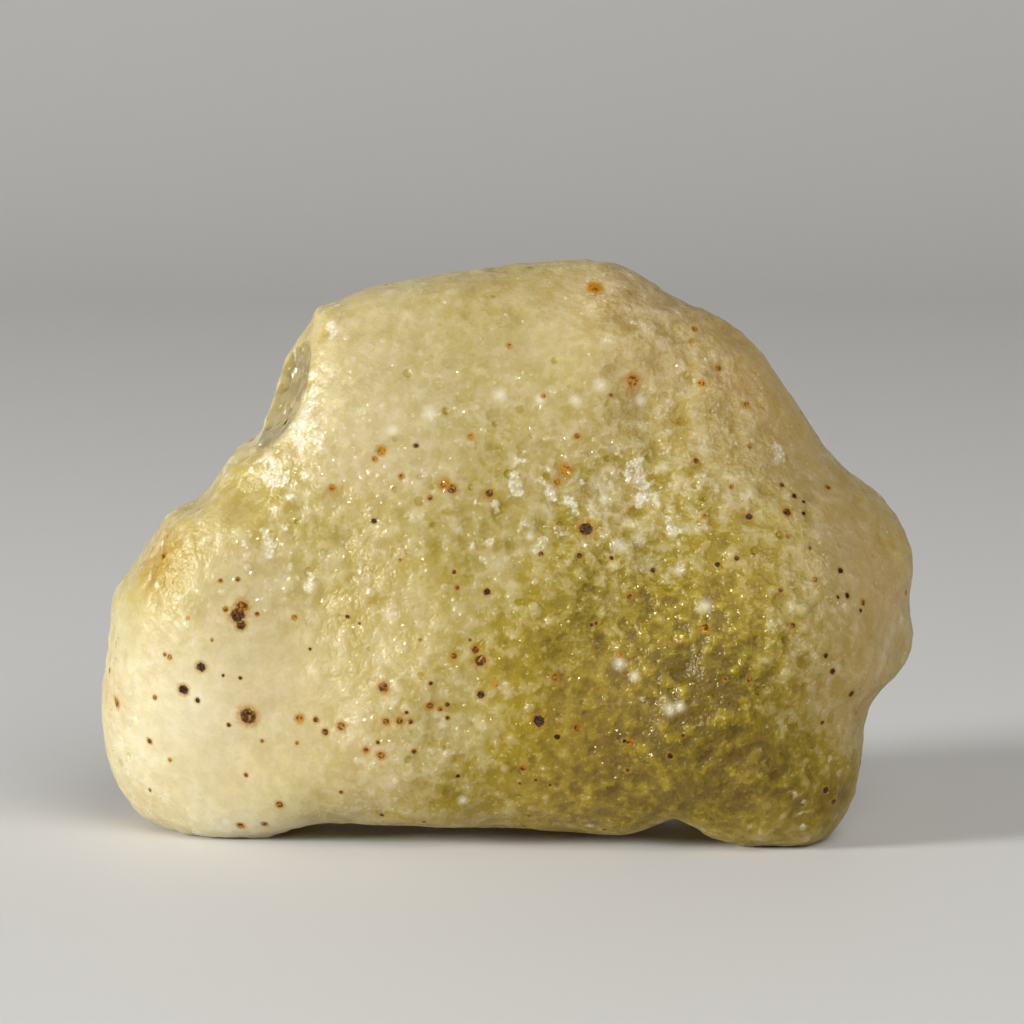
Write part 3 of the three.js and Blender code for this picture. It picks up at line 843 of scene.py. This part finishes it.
def domes(nodes, place, coarse):
    """Small round lumps and pits, more of them where it is coarse: how pale each makes the
    glass, below 0 in a pit, where it paints shade, and the way that its round side leans."""
    reach = nodes.add("ShaderNodeTexVoronoi", {"Vector": place, "Scale": 1 / DOME_SPACING})
    outputs = reach.node.outputs
    chances = nodes.add("ShaderNodeSeparateColor", {"Color": outputs["Color"]}).node.outputs
    wanted = nodes.between(DOME_CHANCES, coarse)
    there = nodes.step(nodes.maths("SUBTRACT", wanted, chances[0]), DOME_CHANCE_EDGES)
    radius = nodes.between(DOME_RADII, chances[1])
    inside = nodes.step(nodes.maths("DIVIDE", reach, radius), DOME_EDGES, (1.0, 0.0))
    upward = nodes.step(chances[2], PIT_EDGES, (-1.0, 1.0))
    dome = nodes.maths("MULTIPLY", nodes.maths("MULTIPLY", there, inside), upward)
    away = nodes.vector_maths("SUBTRACT", place, outputs["Position"])
    steepness = nodes.maths("MULTIPLY", dome, DOME_STEEPNESS / DOME_SPACING)
    return dome, nodes.scaled(away, nodes.maths("DIVIDE", steepness, radius))


def spot_share(nodes, place, name, edges, raggedness=0.0):
    """1 within a spot's inner edge, falling to 0 at its outer edge, both in its radii."""
    inputs = {0: place, 1: nodes.vector(name + "_place")}
    offset = nodes.add("ShaderNodeVectorMath", inputs, "Value", operation="DISTANCE")
    radius = nodes.maths("MAXIMUM", nodes.number(name + "_radius"), SMALLEST_RADIUS)
    reach = nodes.maths("ADD", nodes.maths("DIVIDE", offset, radius), raggedness)
    return nodes.step(reach, edges, (1.0, 0.0))


def weathering(surface, chipped):
    """How coarse, milky, warm, frosted and fresh the glass is at each point. The milkiness also
    holds painted light and shade, the warmth painted glow of thin edges, and the frost painted
    glints.
    """
    coarse = surface.zone_field(COARSE_BASE, COARSE_ZONES) + surface.noise_field(COARSE_CLOUDS)
    coarse = np.clip(coarse, *COARSE_RANGE) * (1 - chipped)
    milk_and_painted_light = surface.zone_field(MILK_BASE, MILK_AND_PAINTED_LIGHT_ZONES) + surface.noise_field(MILK_CLOUDS)
    mottled = between(MOTTLE_SHARES, np.clip(coarse, 0, 1))
    milk_and_painted_light += mottled * surface.noise_field(MOTTLE, octaves=3)
    warm = surface.zone_field(WARM_BASE, WARM_AND_EDGE_GLOW_ZONES) + surface.noise_field(WARM_CLOUDS)
    return {
        "coarse": coarse,
        "milk_and_painted_light": milk_and_painted_light - FRESH_CHIP_CLARITY * chipped,
        "warm": warm,
        "frost_and_glint": surface.zone_field(FROST_AND_GLINT_BASE, FROST_AND_GLINT_ZONES),
        "fresh": chipped,
    }


def raise_relief(surface, weathered, random):
    """Waves, lumps, pits and scars. The lumps make the glass paler, and the pits deeper olive, as
    painted shade.
    """
    strength = (RELIEF_BASE + weathered["coarse"]) * (1 - weathered["fresh"])
    raise_waves(surface, strength)
    raised = press_dots(surface, strength, LUMPS, random)
    sunk = press_dots(surface, strength, PITS, random)
    weathered["milk_and_painted_light"] += LUMP_PALENESS * raised + PIT_PAINTED_SHADE * sunk
    cut_scars(surface, seen_scars(surface) + scattered_scars(surface, random))
    surface.wear(1)
    keep_above_floor(surface)


def make_lump(camera):
    random = np.random.RandomState(SEED)
    lump = skin_of(NODE)
    surface = Surface(lump.data, camera)
    wear_down(surface)
    weathered = weathering(surface, cut_chip(surface))
    raise_relief(surface, weathered, random)
    for name, values in weathered.items():
        store(lump.data, name, values)
    specks = scattered_spots(surface, SPECKS_ELSEWHERE, random)
    specks += seen_spots(surface, LEFT_SPECKS + MIDDLE_SPECKS + RIGHT_SPECKS)
    mark_spots(surface, "speck", specks)
    balls = scattered_spots(surface, BALLS_ELSEWHERE, random)
    balls += seen_spots(surface, WHITE_BALLS)
    mark_spots(surface, "ball", balls)
    lump.data.materials.append(glass_material())
    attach(lump, "root")
    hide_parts(NODE)


def make_floor():
    """A pale floor that sweeps up into a backdrop."""
    half_width = 1.5
    front, bend, rise = -1.0, 0.35, 0.9
    profile = [(front, 0.0), (bend, 0.0)]
    radius = 0.3
    steps = 12
    for step in range(1, steps + 1):
        angle = math.pi / 2 * step / steps
        profile.append((bend + radius * math.sin(angle), radius * (1 - math.cos(angle))))
    profile.append((bend + radius, rise))
    points = [(x, y, z) for y, z in profile for x in (-half_width, half_width)]
    faces = [(2 * i, 2 * i + 1, 2 * i + 3, 2 * i + 2) for i in range(len(profile) - 1)]
    mesh = bpy.data.meshes.new("floor")
    mesh.from_pydata(points, [], faces)
    mesh.polygons.foreach_set("use_smooth", np.ones(len(mesh.polygons), bool))
    floor = bpy.data.objects.new("floor", mesh)
    bpy.context.scene.collection.objects.link(floor)
    nodes = Nodes("floor")
    nodes.feed(nodes.shader.inputs["Base Color"], FLOOR_COLOUR)
    nodes.feed(nodes.shader.inputs["Roughness"], FLOOR_ROUGHNESS)
    mesh.materials.append(nodes.material)


def make_light(name, place, size, power):
    """A round soft light that faces the lump."""
    data = bpy.data.lights.new(name, "AREA")
    data.shape = "DISK"
    data.size = size
    data.energy = power
    light = bpy.data.objects.new(name, data)
    bpy.context.scene.collection.objects.link(light)
    light.location = place
    light.rotation_euler = (LIGHTS_AIM - Vector(place)).to_track_quat("-Z", "Y").to_euler()


def make_world():
    world = bpy.data.worlds.new("studio")
    world.use_nodes = True
    background = world.node_tree.nodes["Background"]
    background.inputs["Color"].default_value = ROOM_COLOUR
    background.inputs["Strength"].default_value = ROOM_STRENGTH
    bpy.context.scene.world = world


camera = make_camera()
make_lump(camera)
make_floor()
for name, light in LIGHTS.items():
    make_light(name, **light)
make_world()
bpy.context.scene.view_settings.view_transform = "Standard"
